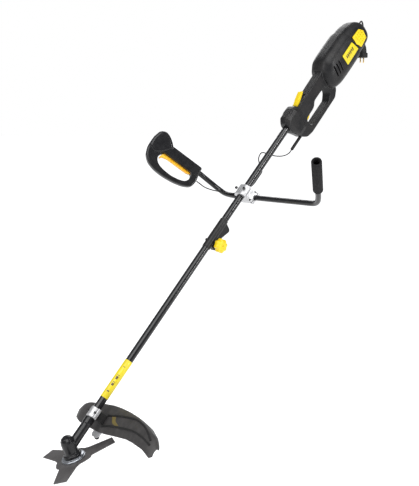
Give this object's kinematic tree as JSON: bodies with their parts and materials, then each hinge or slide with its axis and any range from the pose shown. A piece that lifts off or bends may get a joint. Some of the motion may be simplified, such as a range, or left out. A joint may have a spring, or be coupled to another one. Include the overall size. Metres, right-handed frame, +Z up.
{
  "type": "brush cutter",
  "caption": "Corded electric brush cutter with a rear motor, a split straight shaft, a bicycle handlebar, a blade guard and a toothed steel blade.",
  "frame": {"origin": "on the drive tube's axis at the handlebar clamp", "axes": "+Z up; +X is the level direction from the blade towards the motor; +Y is the operator's right; the drive tube climbs at 46 degrees in the XZ plane"},
  "size_m": [1.4392, 0.7468, 1.3752],
  "materials": {
    "shell": "fine-grained black moulding",
    "accent": "yellow satin moulding",
    "label": "printed yellow film, no lettering",
    "bright_steel": "machined",
    "windings": "lacquered copper windings",
    "fan_plastic": "plain",
    "tube_paint": "gloss black paint",
    "bush_brass": "sintered",
    "coupler_plastic": "black moulding",
    "cast_alloy": "rough cast, tumbled",
    "foam": "closed-cell foam",
    "gloss_black": "gloss black moulding",
    "gear_paint": "gloss black paint over a casting",
    "blade_steel": "oiled dark steel",
    "guard_plastic": "tough black moulding",
    "black_rubber": "moulded rubber"
  },
  "bodies": {
    "tool_body": {"body_shell_left": "shell", "body_shell_right": "shell", "rear_cap": "shell", "side_vent_left": "accent", "side_vent_right": "accent", "rating_plate": "label", "shaft_sticker": "label", "stator_stack": "bright_steel", "front_bearing": "bright_steel", "rear_bearing": "bright_steel", "cap_bolt_1": "bright_steel", "cap_bolt_2": "bright_steel", "spindle_bearing": "bright_steel", "guard_screw_1": "bright_steel", "guard_screw_2": "bright_steel", "guard_clamp_bolt_1": "bright_steel", "guard_clamp_bolt_2": "bright_steel", "trigger_switch": "fan_plastic", "grip_switch": "fan_plastic", "upper_tube": "tube_paint", "lower_tube": "tube_paint", "left_bar": "tube_paint", "right_bar": "tube_paint", "drive_bush": "bush_brass", "coupler_body": "coupler_plastic", "clamp_cap": "cast_alloy", "clamp_middle": "cast_alloy", "clamp_base": "cast_alloy", "guard_bracket": "cast_alloy", "guard_clamp_upper": "cast_alloy", "guard_clamp_lower": "cast_alloy", "foam_grip": "foam", "control_grip_outer": "gloss_black", "control_grip_inner": "gloss_black", "gear_housing": "gear_paint", "guard": "guard_plastic", "cable_relief": "black_rubber", "control_cable": "black_rubber", "lead_gland": "black_rubber", "mains_lead": "black_rubber", "plug_relief": "black_rubber", "mains_plug": "black_rubber"},
    "drive_line": {"rotor": "windings", "motor_shaft": "bright_steel", "cooling_fan": "fan_plastic", "drive_coupling": "bright_steel", "upper_drive_shaft": "bright_steel", "lower_drive_shaft": "bright_steel", "pinion": "bright_steel"},
    "blade_spindle": {"spindle": "bright_steel", "bevel_wheel": "bright_steel", "upper_flange": "bright_steel", "blade": "blade_steel", "lower_washer": "bright_steel", "blade_nut": "bright_steel"},
    "trigger": {"trigger": "accent"},
    "lock_off_lever": {"lock_off_lever": "accent"},
    "grip_lever": {"grip_lever": "accent"},
    "coupler_knob": {"coupler_knob": "accent"},
    "locating_button": {"locating_button": "fan_plastic"}
  },
  "joints": [
    {"name": "blade_spin", "type": "hinge", "parent": "tool_body", "child": "blade_spindle", "pos_m": [-0.67421, -0.00405, -0.74078], "axis": [-0.2949, 0.1193, 0.9481], "continuous": true},
    {"name": "motor_spin", "type": "hinge", "parent": "tool_body", "child": "drive_line", "pos_m": [0, 0, 0], "axis": [0.6947, 0, 0.7193], "continuous": true},
    {"name": "trigger_squeeze", "type": "hinge", "parent": "tool_body", "child": "trigger", "pos_m": [0.31053, 0, 0.27982], "axis": [0, 1, 0], "range_deg": [0, 9], "stiffness_Nm_per_rad": 0.5},
    {"name": "lock_off_press", "type": "hinge", "parent": "tool_body", "child": "lock_off_lever", "pos_m": [0.24393, 0, 0.28714], "axis": [0, 1, 0], "range_deg": [0, 8], "stiffness_Nm_per_rad": 0.4},
    {"name": "grip_lever_squeeze", "type": "hinge", "parent": "tool_body", "child": "grip_lever", "pos_m": [-0.06815, 0.2035, 0.05887], "axis": [0.3597, 0.866, -0.3473], "range_deg": [0, 3], "stiffness_Nm_per_rad": 1.5},
    {"name": "coupler_knob_turn", "type": "hinge", "parent": "tool_body", "child": "coupler_knob", "pos_m": [-0.12512, -0.029, -0.16555], "axis": [0, -1, 0], "range_deg": [-360, 0]},
    {"name": "locating_button_press", "type": "slide", "parent": "tool_body", "child": "locating_button", "axis": [0.7193, 0, -0.6947], "range_m": [0, 0.0025], "stiffness_N_per_m": 600}
  ],
  "couplings": [
    {"joint": "motor_spin", "follows": "blade_spin", "ratio": 1.6667}
  ]
}
